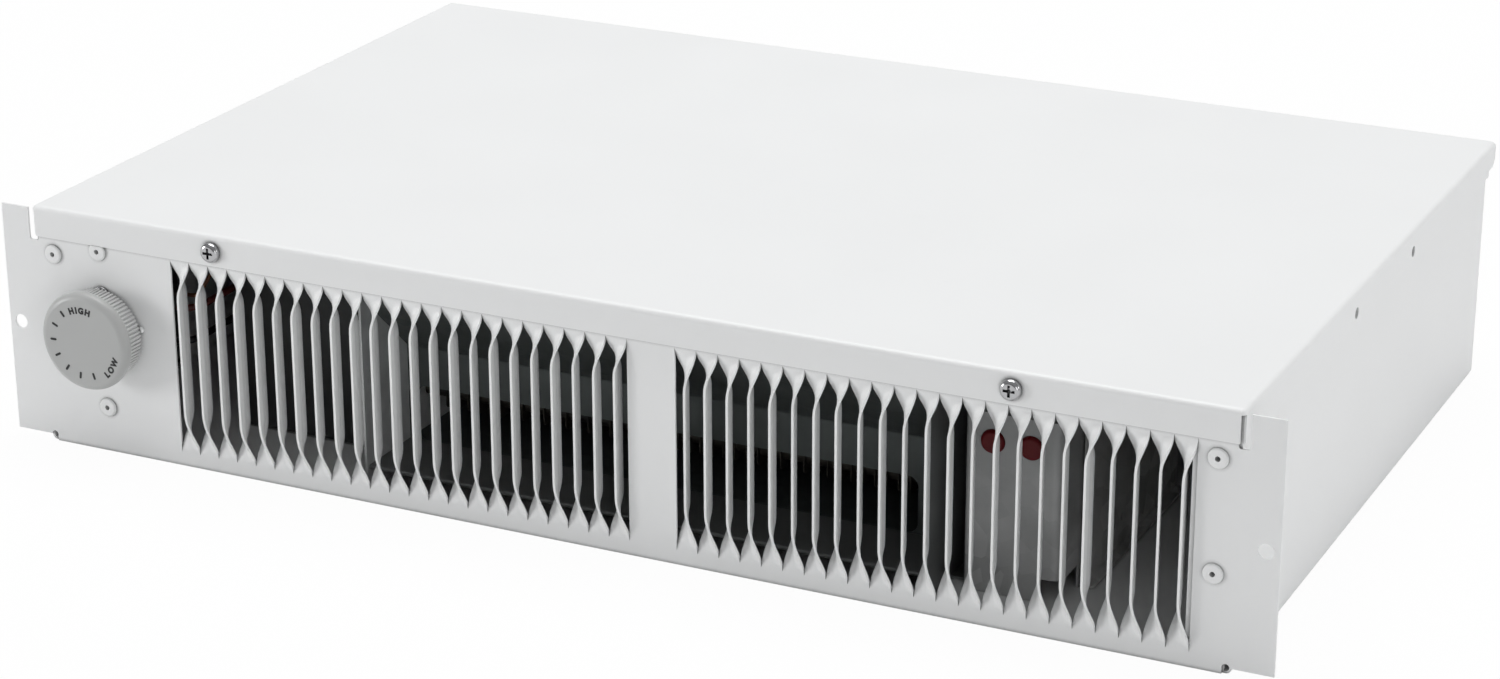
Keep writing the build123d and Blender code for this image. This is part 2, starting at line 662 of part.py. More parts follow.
def duct_screws():
    """Screws that hold the feet of both duct walls to the tray floor."""
    screw = floor_screw()
    spots = []
    for x in (DUCT_LEFT_X - DUCT_SCREW_OFFSET, DUCT_RIGHT_X + DUCT_SCREW_OFFSET):
        for y in DUCT_SCREW_Y:
            spots.append((x, y))
    z = TRAY_FLOOR + SHEET_T
    return bundle(Pos(x, y, z) * screw for x, y in spots)


def outlet_face_plate():
    """Plate with the mouth of the duct and the ceiling that slopes up to the front."""
    path = ((FACE_Y, TRAY_FLOOR + 0.2), (FACE_Y, FACE_TOP), (CEILING_FRONT_Y, CEILING_FRONT_Z))
    x0 = DUCT_LEFT_X + FIT_GAP
    x1 = DUCT_RIGHT_X - FIT_GAP
    plate = strip_x(path, x0, x1, side=Side.RIGHT)
    mouth_w = MOUTH_X[1] - MOUTH_X[0]
    mouth_h = MOUTH_Z[1] - MOUTH_Z[0]
    mouth = Plane.XZ.offset(-FACE_Y + 3) * Pos(sum(MOUTH_X) / 2, sum(MOUTH_Z) / 2)
    return plate - extrude(mouth * RectangleRounded(mouth_w, mouth_h, MOUTH_CORNER_R), -8)


def terminal_guard():
    """Upright sheet in front of the element terminals, with a foot on the tray floor."""
    path = ((GUARD_Y, GUARD_TOP), (GUARD_Y, TRAY_FLOOR), (GUARD_Y + GUARD_FOOT, TRAY_FLOOR))
    x0, x1 = GUARD_X
    bend_end = x1 - DUCT_FOOT_W - FIT_GAP
    low = TRAY_FLOOR + SHEET_T + FIT_GAP
    return strip_x(path, x0, bend_end) + block(bend_end, x1, GUARD_Y, GUARD_Y + SHEET_T, low, GUARD_TOP)


def duct_floor():
    """Floor of the outlet with a hemmed front edge."""
    x0 = DUCT_LEFT_X + FIT_GAP
    x1 = DUCT_RIGHT_X - FIT_GAP
    top = MOUTH_Z[0]
    low = top - SHEET_T
    floor = block(x0, x1, FLOOR_FRONT_Y, FACE_Y - FIT_GAP, low, top)
    floor += block(x0, x1, FLOOR_FRONT_Y, FLOOR_FRONT_Y + HEM_L, low - SHEET_T, low)
    return floor + rod_x(SHEET_T, x0, x1, FLOOR_FRONT_Y, low)


def blower_scroll():
    """Curved rear wall of the blower that runs forward as the floor of the throat."""
    y = WHEEL_Y
    low = MOUTH_Z[0]
    path = ((y + 12, 33), (y + 36, 28), (y + 43, 4), (y + 38, -24), (y + 12, low),
            (FACE_Y + SHEET_T + FIT_GAP, low))
    return strip_x(path, DUCT_LEFT_X + FIT_GAP, DUCT_RIGHT_X - FIT_GAP, radius=SCROLL_CORNER_R)


def blower_cutoff():
    """Tongue above the throat that separates inlet from outlet."""
    front = FACE_Y + SHEET_T + FIT_GAP
    low = MOUTH_Z[1] + FIT_GAP
    path = ((front, low), (WHEEL_Y - 33.5, low), (WHEEL_Y - 33.5, -2), (WHEEL_Y - 39, 8))
    return strip_x(path, DUCT_LEFT_X + FIT_GAP, DUCT_RIGHT_X - FIT_GAP)


def wheel_blade(turn):
    """One forward-curved blade of the cross-flow wheel."""
    sweep_angle = math.radians(BLADE_SWEEP)

    def spot(radius, angle, shift):
        angle += shift / radius
        return (WHEEL_Y + radius * math.cos(angle), WHEEL_Z + radius * math.sin(angle))

    middle_r = (WHEEL_INNER_R + WHEEL_R) / 2 - 0.5
    inner = WHEEL_INNER_R
    outer = WHEEL_R - 0.4
    middle_turn = turn + sweep_angle / 2 - BLADE_BOW / middle_r
    corners = []
    for shift in (0, BLADE_T):
        corners.append((spot(inner, turn, shift), spot(middle_r, middle_turn, shift),
                        spot(outer, turn + sweep_angle, shift)))
    near, far = corners
    outline = [ThreePointArc(*near), Line(near[2], far[2]), ThreePointArc(*reversed(far)),
               Line(far[0], near[0])]
    length = WHEEL_RIGHT - WHEEL_LEFT - DISC_T
    return extrude(Plane.YZ.offset(WHEEL_LEFT + DISC_T / 2) * make_face(outline), length)


def impeller():
    """Cross-flow wheel: end discs, a middle ring, blades and hubs."""
    wheel = rod_x(WHEEL_R, WHEEL_LEFT, WHEEL_LEFT + DISC_T, WHEEL_Y, WHEEL_Z)
    wheel += rod_x(WHEEL_R, WHEEL_RIGHT - DISC_T, WHEEL_RIGHT, WHEEL_Y, WHEEL_Z)
    middle = (WHEEL_LEFT + WHEEL_RIGHT) / 2
    ring = rod_x(WHEEL_R, middle - 0.5, middle + 0.5, WHEEL_Y, WHEEL_Z)
    ring -= rod_x(WHEEL_INNER_R - 1.5, middle - 2, middle + 2, WHEEL_Y, WHEEL_Z)
    wheel = wheel + ring
    blades = [wheel_blade(2 * math.pi * index / WHEEL_BLADES) for index in range(WHEEL_BLADES)]
    wheel = wheel.fuse(*blades)
    wheel += rod_x(HUB_R, WHEEL_LEFT, WHEEL_LEFT + HUB_L, WHEEL_Y, WHEEL_Z)
    wheel += rod_x(HUB_R, WHEEL_RIGHT - HUB_L, WHEEL_RIGHT, WHEEL_Y, WHEEL_Z)
    return wheel - rod_x(AXLE_R, WHEEL_LEFT - 5, WHEEL_RIGHT + 5, WHEEL_Y, WHEEL_Z)


def impeller_shaft():
    """Steel shaft through the wheel and the motor rotor."""
    shaft = rod_x(AXLE_R, AXLE_LEFT, AXLE_RIGHT, WHEEL_Y, WHEEL_Z)
    return chamfer(shaft.edges(), 0.5)


def bearing_grommet():
    """Rubber grommet that carries the left bearing in the duct wall."""
    wall = DUCT_LEFT_X - SHEET_T
    grommet = rod_x(GROMMET_R, wall - 3, DUCT_LEFT_X + 3, WHEEL_Y, WHEEL_Z)
    grommet = fillet(grommet.edges(), 1.2)
    groove = rod_x(GROMMET_R + 5, wall, DUCT_LEFT_X, WHEEL_Y, WHEEL_Z)
    groove -= rod_x(GROMMET_GROOVE_R, wall - 1, DUCT_LEFT_X + 1, WHEEL_Y, WHEEL_Z)
    return grommet - groove - rod_x(BEARING_R, -130, -90, WHEEL_Y, WHEEL_Z)


def shaft_bearing():
    """Sintered bronze bush for the left end of the shaft."""
    bush = rod_x(BEARING_R, DUCT_LEFT_X - 5.5, DUCT_LEFT_X + 3.5, WHEEL_Y, WHEEL_Z)
    bush = chamfer(bush.edges(), 0.6)
    return bush - rod_x(AXLE_R + RUNNING_GAP, -130, -90, WHEEL_Y, WHEEL_Z)


def motor_stator():
    """Laminated C-frame of the shaded-pole motor."""
    near = WHEEL_Y - STACK_HALF_D
    far = WHEEL_Y + STACK_HALF_D
    stack = block(*STACK_X, near, far, *STACK_Z)
    stack = chamfer(stack.edges().filter_by(Axis.X), 3)
    stack -= rod_x(STATOR_BORE_R, STACK_X[0] - 1, STACK_X[1] + 1, WHEEL_Y, WHEEL_Z)
    stack -= block(STACK_X[0] - 1, STACK_X[1] + 1, WHEEL_Y - 19, WHEEL_Y + 19, *WINDOW_Z)
    for side in (-MOTOR_SCREW_Y, MOTOR_SCREW_Y):
        stack -= rod_x(MOTOR_SCREW_R + FIT_GAP, 140, 190, WHEEL_Y + side, MOTOR_SCREW_Z)
    return stack


def motor_coil():
    """Field winding on the upper leg of the stator."""
    near = WHEEL_Y - COIL_HALF_D
    far = WHEEL_Y + COIL_HALF_D
    x0 = STACK_X[0] - COIL_OVERHANG
    x1 = STACK_X[1] + COIL_OVERHANG
    coil = block(x0, x1, near, far, *COIL_Z)
    coil = fillet(coil.edges().filter_by(Axis.Y), 4)
    cheek = block(x0, x1, near - 1.5, near, COIL_Z[0] - 0.3, COIL_Z[1] + 0.3)
    coil += cheek + Pos(0, 2 * COIL_HALF_D + 1.5, 0) * cheek
    gap = 0.2
    return coil - block(STACK_X[0] - gap, STACK_X[1] + gap, near - 5, far + 5,
                        WINDOW_Z[1] - gap, STACK_Z[1] + gap)


def motor_rotor():
    """Squirrel-cage rotor with its end rings."""
    rotor = rod_x(ROTOR_R, STACK_X[0], STACK_X[1], WHEEL_Y, WHEEL_Z)
    rotor += rod_x(ROTOR_R - 1.5, STACK_X[0] - 1.8, STACK_X[1] + 1.8, WHEEL_Y, WHEEL_Z)
    return rotor - rod_x(AXLE_R, 140, 190, WHEEL_Y, WHEEL_Z)


def motor_brackets():
    """Two bridges with the motor bearings, one on each side of the stator."""
    bridges = []
    for x, inward in zip(BRIDGE_X, (1, -1)):
        near = WHEEL_Y - STACK_HALF_D + 1
        far = WHEEL_Y + STACK_HALF_D - 1
        strap = block(x, x + BRIDGE_T, near, far, -22, -8)
        strap += block(x, x + BRIDGE_T, WHEEL_Y - 12, WHEEL_Y + 12, -22, 12)
        strap += rod_x(6.5, x - 1.2, x + BRIDGE_T + 1.2, WHEEL_Y, WHEEL_Z)
        strap -= rod_x(AXLE_R + RUNNING_GAP, 130, 190, WHEEL_Y, WHEEL_Z)
        face = STACK_X[0] if inward > 0 else STACK_X[1]
        start = x + BRIDGE_T if inward > 0 else x
        for side in (-MOTOR_SCREW_Y, MOTOR_SCREW_Y):
            y = WHEEL_Y + side
            strap += rod_x(4.0, start, face, y, MOTOR_SCREW_Z)
            strap -= rod_x(MOTOR_SCREW_R + FIT_GAP, 130, 190, y, MOTOR_SCREW_Z)
        bridges.append(strap)
    return bundle(bridges)


def motor_screws():
    """Long screws that hold the motor to the right duct wall."""
    reach = BRIDGE_X[1] + BRIDGE_T - DUCT_RIGHT_X
    screw = pan_screw(reach, radius=MOTOR_SCREW_R, head_r=3.6, head_h=2.4)
    x = BRIDGE_X[1] + BRIDGE_T
    spots = (WHEEL_Y - MOTOR_SCREW_Y, WHEEL_Y + MOTOR_SCREW_Y)
    return bundle(Pos(x, y, MOTOR_SCREW_Z) * Rot(0, -90, 0) * screw for y in spots)


def motor_spacers():
    """Sleeves between the duct wall and the motor."""
    sleeves = []
    for side in (-MOTOR_SCREW_Y, MOTOR_SCREW_Y):
        y = WHEEL_Y + side
        sleeve = rod_x(4.5, DUCT_RIGHT_X + SHEET_T, BRIDGE_X[0], y, MOTOR_SCREW_Z)
        sleeves.append(sleeve - rod_x(MOTOR_SCREW_R + FIT_GAP, 130, 150, y, MOTOR_SCREW_Z))
    return bundle(sleeves)


def heating_element():
    """Sheathed hairpin element across the throat of the blower."""
    near, far = ELEMENT_Y
    legs = rod_x(ELEMENT_R, ELEMENT_LEFT, ELEMENT_RIGHT, near, ELEMENT_Z)
    legs += rod_x(ELEMENT_R, ELEMENT_LEFT, ELEMENT_RIGHT, far, ELEMENT_Z)
    spine = Plane.XY.offset(ELEMENT_Z) * ThreePointArc((ELEMENT_RIGHT, near),
                                                       (ELEMENT_RIGHT + (far - near) / 2, (near + far) / 2),
                                                       (ELEMENT_RIGHT, far))
    ring = Plane(origin=(ELEMENT_RIGHT, near, ELEMENT_Z), z_dir=(1, 0, 0)) * Circle(ELEMENT_R)
    return legs + sweep(ring, spine)


def element_fins():
    """Thin plates pressed over both legs of the element."""
    plate = block(FIN_FIRST_X, FIN_FIRST_X + FIN_T, *FIN_Y, *FIN_Z)
    plate = fillet(plate.edges().filter_by(Axis.X), 2)
    for y in ELEMENT_Y:
        plate -= rod_x(ELEMENT_R, FIN_FIRST_X - 5, FIN_FIRST_X + 5, y, ELEMENT_Z)
    return bundle(Pos(FIN_PITCH * index, 0, 0) * plate for index in range(FIN_COUNT))


def element_terminals():
    """Ceramic seals and threaded pins at the ends of the element."""
    ends = []
    for y in ELEMENT_Y:
        seal = rod_x(ELEMENT_R - 0.4, ELEMENT_LEFT - SEAL_L, ELEMENT_LEFT, y, ELEMENT_Z)
        pin = rod_x(1.6, ELEMENT_LEFT - SEAL_L - PIN_L, ELEMENT_LEFT - SEAL_L, y, ELEMENT_Z)
        tab = block(ELEMENT_TAB_X, ELEMENT_TAB_X + 7, y - TAB_W / 2, y + TAB_W / 2,
                    ELEMENT_Z - TAB_T / 2, ELEMENT_Z + TAB_T / 2)
        ends.append(seal + pin + tab)
    return bundle(ends)


def fan_delay_switch():
    """Disc switch on the outside of the duct that runs the fan until the duct cools."""
    face = DUCT_LEFT_X - SHEET_T
    back = face - DELAY_H
    low = DELAY_Z - TAB_W / 2
    high = DELAY_Z + TAB_W / 2
    switch = rod_x(DELAY_R, face - 3, face, DELAY_Y, DELAY_Z)
    switch += rod_x(DELAY_R - 1, back, face - 3, DELAY_Y, DELAY_Z)
    switch += block(face - TAB_T, face, DELAY_Y - 12, DELAY_Y + 12, low, high)
    for shift in DELAY_TABS:
        y = DELAY_Y + shift
        switch += block(back - DELAY_TAB_L, back, y - TAB_T / 2, y + TAB_T / 2, low, high)
    return switch


def limit_box():
    """Sheet box around the limit switches, with two button holes and a cut lower corner."""
    x0, x1 = BOX_X
    y0, y1 = BOX_Y
    outer = block(x0, x1, y0, y1, TRAY_FLOOR, BOX_TOP)
    inner = block(x0 + SHEET_T, x1 - SHEET_T, y0 + SHEET_T, y1 + 5, TRAY_FLOOR - 1, BOX_TOP - SHEET_T)
    for corner, radius in enumerate(BOX_CORNER_R):
        outer = fillet(outer.edges().filter_by(Axis.Z).group_by(Axis.Y)[0].sort_by(Axis.X)[-corner], radius)
        inner = fillet(inner.edges().filter_by(Axis.Z).group_by(Axis.Y)[0].sort_by(Axis.X)[-corner],
                       radius - SHEET_T)
    box = outer - inner
    notch_y = y0 + BOX_NOTCH_D
    floor_top = TRAY_FLOOR + SHEET_T
    box += block(x0, x1, y1 - 4, y1 + BOX_FOOT_L, TRAY_FLOOR, floor_top)
    box -= rod_z(PAN_SHANK_R + FIT_GAP, TRAY_FLOOR - 1, floor_top + 1, (x0 + x1) / 2, y1 + BOX_FOOT_L / 2)
    box -= block(BOX_NOTCH_X, x1 + 1, y0 - 1, notch_y, TRAY_FLOOR - 1, TRAY_FLOOR + BOX_NOTCH_H)
    for x in BUTTON_X:
        box -= rod_y(BUTTON_R + BUTTON_GAP, y0 - 5, y0 + 5, x, BUTTON_Z)
    return box


def limit_box_screw():
    """Screw through the foot of the limit box."""
    screw = floor_screw()
    return Pos(sum(BOX_X) / 2, BOX_Y[1] + BOX_FOOT_L / 2, TRAY_FLOOR + SHEET_T) * screw


def reset_button(x):
    """Domed plastic button with a collar behind the box face."""
    y = BOX_Y[0]
    button = rod_y(BUTTON_R, y - BUTTON_DOME, y + SHEET_T + 0.4, x, BUTTON_Z)
    button = fillet(button.edges().sort_by(Axis.Y)[0], BUTTON_DOME * 0.95)
    button += rod_y(BUTTON_R + 0.9, y + SHEET_T + 0.2, y + SHEET_T + BUTTON_COLLAR, x, BUTTON_Z)
    return button + rod_y(STEM_R, y + SHEET_T + 1, y + STEM_END, x, BUTTON_Z)


def limit_switches():
    """Two disc limit switches behind their reset buttons."""
    start = BOX_Y[0] + SHEET_T + BUTTON_COLLAR + BUTTON_STROKE + 0.6
    back = start + LIMIT_DEPTH
    pocket = BOX_Y[0] + STEM_END + BUTTON_STROKE + 0.5
    bodies = []
    for x in BUTTON_X:
        body = rod_y(LIMIT_R, start, back, x, BUTTON_Z)
        body -= rod_y(STEM_R + RUNNING_GAP, start - 1, pocket, x, BUTTON_Z)
        for shift in (-3.6, 3.6):
            body += block(x + shift - TAB_T / 2, x + shift + TAB_T / 2, back, back + 7,
                          BUTTON_Z - TAB_W / 2, BUTTON_Z + TAB_W / 2)
        bodies.append(body)
    return bundle(bodies)


def limit_bracket():
    """Shelf that carries the limit switches inside the box."""
    low = BUTTON_Z - LIMIT_R
    shelf = block(BOX_X[0] + SHEET_T + FIT_GAP, BOX_X[1] - SHEET_T - FIT_GAP,
                  BOX_Y[0] + 4, BOX_Y[0] + 20, low - 1.2, low)
    return shelf


def motor_shield():
    """Upright sheet that guides intake air past the motor, with a foot on the tray floor."""
    y0, y1 = SHIELD_Y
    back = SHIELD_X + SHEET_T
    wall = block(SHIELD_X, back, y0, y1, TRAY_FLOOR, SHIELD_TOP)
    foot = block(SHIELD_X, back + SHIELD_FOOT, y0, y1, TRAY_FLOOR, TRAY_FLOOR + SHEET_T)
    foot = fillet(foot.edges().filter_by(Axis.Z).sort_by(Axis.X)[-2:], 2.5)
    y, z = SHIELD_HOLE
    return wall + foot - rod_x(SHIELD_HOLE_R, SHIELD_X - 5, back + 5, y, z)


def knockout_plug():
    """Snap-in plug that closes the spare cable entry."""
    plug = rod_y(ENTRY_R + 2, CASE_REAR, CASE_REAR + 1.4, PLUG_X, ENTRY_Z)
    plug = fillet(plug.edges().sort_by(Axis.Y)[-1], 1.0)
    collar = rod_y(ENTRY_R - 0.1, CASE_REAR - 6, CASE_REAR, PLUG_X, ENTRY_Z)
    return plug + collar - rod_y(ENTRY_R - 1.2, CASE_REAR - 7, CASE_REAR - 0.5, PLUG_X, ENTRY_Z)


def junction_box_cover():
    """Sheet cover over the supply connections at the rear left."""
    x0, x1 = JUNCTION_X
    y0, y1 = JUNCTION_Y
    outer = block(x0, x1, y0, y1, TRAY_FLOOR, JUNCTION_TOP)
    outer = fillet(outer.edges().group_by(Axis.Z)[-1].sort_by(Axis.Y)[:1], OUTER_BEND_R)
    inner = block(x0 + SHEET_T, x1 - SHEET_T, y0 + SHEET_T, y1 + 5, TRAY_FLOOR - 5, JUNCTION_TOP - SHEET_T)
    cover = outer - inner
    cover += block(x0, x1, y0 - JUNCTION_FOOT, y0 + SHEET_T, TRAY_FLOOR, TRAY_FLOOR + SHEET_T)
    for x in (x0 + 12, x1 - 12):
        cover -= rod_z(PAN_SHANK_R + FIT_GAP, TRAY_FLOOR - 1, TRAY_FLOOR + 5, x, y0 - JUNCTION_FOOT / 2)
    return cover - rod_y(GATE_R, y0 - 5, y0 + 5, GATE_X, GATE_Z)


def junction_box_screws():
    """Screws through the foot of the junction box cover."""
    screw = floor_screw()
    z = TRAY_FLOOR + SHEET_T
    spots = (JUNCTION_X[0] + 12, JUNCTION_X[1] - 12)
    return bundle(Pos(x, JUNCTION_Y[0] - JUNCTION_FOOT / 2, z) * screw for x in spots)


def ground_screw():
    """Hex-head earth screw on the tray floor inside the junction box."""
    x, y = GROUND_XY
    head = Pos(x, y, TRAY_FLOOR + 2.5) * extrude(RegularPolygon(4.6, 6), 3)
    washer = rod_z(5.5, TRAY_FLOOR, TRAY_FLOOR + 1, x, y)
    return head + washer + rod_z(2.4, TRAY_FLOOR + 1, TRAY_FLOOR + 3, x, y)


def wire_nuts():
    """Twist-on connectors that join the supply to the heater leads."""
    nuts = []
    mouth = NUT_X + NUT_L / 2
    for y in NUT_Y:
        nut = Pos(NUT_X, y, NUT_Z) * Rot(0, -90, 0) * Cone(6.0, 3.6, NUT_L)
        nut += rod_x(6.6, mouth - 4, mouth, y, NUT_Z)
        nuts.append(nut - rod_x(NUT_BORE_R, mouth - 15, mouth + 1, y, NUT_Z))
    return bundle(nuts)


def supply_end(shift, y, level):
    """The run of a wire from inside a twist-on connector to the gate of the junction box."""
    x = GATE_X + shift
    z = NUT_Z + level * (WIRE_R + 0.1)
    return ((NUT_X + 1, y, z), (x, y, z), (x, JUNCTION_Y[0] + SHEET_T / 2, GATE_Z + 2 * level))


def thermostat_lead():
    """Red wire from the supply connections to the thermostat."""
    end = KNOB_X + THERMOSTAT_BODY[0] / 2 + 0.2
    route = supply_end(-2, NUT_Y[0], 1) + (
        (GATE_X - 2, 200, WIRE_LOW), (LEAD_X, 105, WIRE_LOW), (LEAD_X, 60, 7), (LEAD_X, 26, 7),
        (end, 26, 7))
    return tube(route, WIRE_R)


def internal_leads():
    """Black wires between the supply, the thermostat, the fan switch and the element."""
    start = KNOB_X + THERMOSTAT_BODY[0] / 2 + 0.6
    fan_tab = DUCT_LEFT_X - SHEET_T - DELAY_H - DELAY_TAB_L - 0.2
    near, far = (DELAY_Y + shift for shift in DELAY_TABS)
    element = ELEMENT_TAB_X - 0.2
    routes = (
        supply_end(2, NUT_Y[1], 1) + (
            (GATE_X + 2, 200, WIRE_LOW), (-150, 110, WIRE_LOW), (-150, ELEMENT_Y[1], ELEMENT_Z),
            (element, ELEMENT_Y[1], ELEMENT_Z)),
        ((start, 22, -6), (LEAD_X, 22, -6), (LEAD_X, 58, -6), (-165, far, DELAY_Z), (fan_tab, far, DELAY_Z)),
        ((fan_tab, near, DELAY_Z), (-136, near, DELAY_Z), (-140, 60, -2), (-140, ELEMENT_Y[0], ELEMENT_Z),
         (element, ELEMENT_Y[0], ELEMENT_Z)),
    )
    return bundle(tube(route, WIRE_R) for route in routes)


def motor_leads():
    """Wires from the motor coil and limit switches behind the blower."""
    coil_x = sum(STACK_X) / 2
    coil_y = WHEEL_Y + COIL_HALF_D + 1.7
    switch_x = BUTTON_X[1]
    switch_y = BOX_Y[0] + 25
    motor_rear = WHEEL_Y + STACK_HALF_D
    routes = (
        ((coil_x, coil_y, 45), (coil_x, motor_rear + 8, 45), (coil_x, motor_rear + 12, 10),
         (coil_x, 185, WIRE_LOW), (-120, 190, WIRE_LOW), (-140, 222, WIRE_LOW), (GATE_X - 2, 222, WIRE_LOW))
        + supply_end(-2, NUT_Y[0], -1)[::-1],
        ((switch_x, switch_y, BUTTON_Z), (switch_x, 70, BUTTON_Z), (160, 71, -38), (148, 100, -40),
         (148, 160, -40), (148, 200, WIRE_LOW), (-120, 200, WIRE_LOW), (-135, 228, WIRE_LOW),
         (GATE_X + 2, 228, WIRE_LOW))
        + supply_end(2, NUT_Y[1], -1)[::-1],
    )
    return bundle(tube(route, WIRE_R, 5.0) for route in routes)


PARTS = {
    "front_panel": front_panel,
    "base_tray": base_tray,
    "top_cover": top_cover,
    "cover_rear_clips": cover_rear_clips,
    "cover_screws": cover_screws,
    "cover_screw_nuts": cover_screw_nuts,
    "panel_rivets": panel_rivets,
    "bracket_rivets": bracket_rivets,
    "thermostat_knob": thermostat_knob,
    "thermostat_shaft": thermostat_shaft,
    "thermostat_body": thermostat_body,
    "thermostat_screws": thermostat_screws,
    "thermostat_bracket": thermostat_bracket,
    "sensing_bulb": sensing_bulb,
    "bulb_clip": bulb_clip,
    "duct_left_wall": duct_left_wall,
    "duct_right_wall": duct_right_wall,
    "duct_screws": duct_screws,
    "outlet_face_plate": outlet_face_plate,
    "terminal_guard": terminal_guard,
    "duct_floor": duct_floor,
    "blower_scroll": blower_scroll,
    "blower_cutoff": blower_cutoff,
    "impeller": impeller,
    "impeller_shaft": impeller_shaft,
    "bearing_grommet": bearing_grommet,
    "shaft_bearing": shaft_bearing,
    "motor_stator": motor_stator,
    "motor_coil": motor_coil,
    "motor_rotor": motor_rotor,
    "motor_brackets": motor_brackets,
    "motor_screws": motor_screws,
    "motor_spacers": motor_spacers,
    "motor_leads": motor_leads,
    "heating_element": heating_element,
    "element_fins": element_fins,
    "element_terminals": element_terminals,
    "fan_delay_switch": fan_delay_switch,
    "limit_box": limit_box,
    "limit_box_screw": limit_box_screw,
    "limit_switches": limit_switches,
    "limit_bracket": limit_bracket,
    "motor_shield": motor_shield,
    "knockout_plug": knockout_plug,
    "junction_box_cover": junction_box_cover,
    "junction_box_screws": junction_box_screws,
    "ground_screw": ground_screw,
    "wire_nuts": wire_nuts,
    "thermostat_lead": thermostat_lead,
    "internal_leads": internal_leads,
}

os.makedirs("parts", exist_ok=True)
for node, make in PARTS.items():
    export_step(make(), f"parts/{node}.step")
for side, x in zip(("left", "right"), BUTTON_X):
    export_step(reset_button(x), f"parts/reset_button_{side}.step")
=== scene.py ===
import json
import math

import bmesh
import bpy
from mathutils import Matrix, Vector


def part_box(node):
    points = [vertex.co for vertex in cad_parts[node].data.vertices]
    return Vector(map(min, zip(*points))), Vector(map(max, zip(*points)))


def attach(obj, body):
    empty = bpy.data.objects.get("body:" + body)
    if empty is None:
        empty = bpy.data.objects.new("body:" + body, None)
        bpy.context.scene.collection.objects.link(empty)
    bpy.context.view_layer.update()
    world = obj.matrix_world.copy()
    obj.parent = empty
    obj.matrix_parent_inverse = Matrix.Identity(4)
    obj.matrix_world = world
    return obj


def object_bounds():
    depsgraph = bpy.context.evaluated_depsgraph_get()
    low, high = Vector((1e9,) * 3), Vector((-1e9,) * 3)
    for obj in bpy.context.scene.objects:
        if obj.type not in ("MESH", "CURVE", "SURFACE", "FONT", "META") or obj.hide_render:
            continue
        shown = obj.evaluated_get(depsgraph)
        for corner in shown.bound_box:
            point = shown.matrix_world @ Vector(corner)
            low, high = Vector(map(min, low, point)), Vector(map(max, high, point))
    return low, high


MM = 0.001
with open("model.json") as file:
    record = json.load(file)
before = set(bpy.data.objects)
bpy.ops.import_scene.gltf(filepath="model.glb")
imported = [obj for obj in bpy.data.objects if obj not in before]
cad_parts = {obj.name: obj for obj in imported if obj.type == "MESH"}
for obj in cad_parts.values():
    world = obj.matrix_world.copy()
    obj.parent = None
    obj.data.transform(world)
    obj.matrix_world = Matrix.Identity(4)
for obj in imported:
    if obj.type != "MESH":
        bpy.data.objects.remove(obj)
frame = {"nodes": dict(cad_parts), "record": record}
cad_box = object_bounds()
nodes = frame["nodes"]
scene = bpy.context.scene


# ---------------------------------------------------------------- materials


